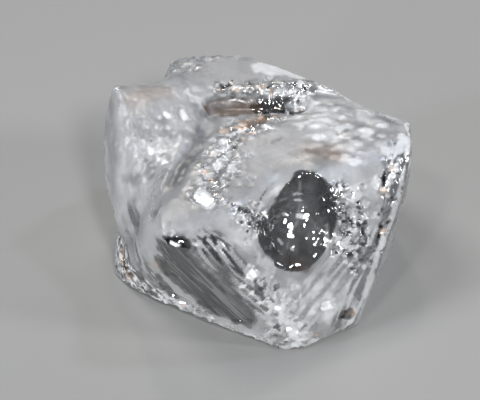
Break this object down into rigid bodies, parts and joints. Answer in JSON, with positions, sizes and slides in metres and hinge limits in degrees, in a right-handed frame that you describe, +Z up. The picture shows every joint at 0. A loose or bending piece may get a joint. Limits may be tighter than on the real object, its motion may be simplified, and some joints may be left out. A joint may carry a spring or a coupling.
{
  "type": "octahedral diamond crystal",
  "caption": "Rough colourless diamond octahedron resting on a crystal face, with stepped growth layers, a rounded second individual on its left shoulder and a smooth round window in front",
  "frame": {"origin": "middle of the bounding box's underside, on the octahedral face that the stone rests on", "axes": "+Z is up, along the normal of the resting face; +X runs from the rounded individual on the left to the right-hand corner; the picture looks along +Y and 43 degrees down"},
  "size_m": [0.0078, 0.0064, 0.0046],
  "materials": {
    "diamond": "clear colourless diamond, IOR 2.417, satin to frosted natural skin with polished windows"
  },
  "bodies": {
    "root": {"diamond_crystal": "diamond"}
  },
  "joints": []
}
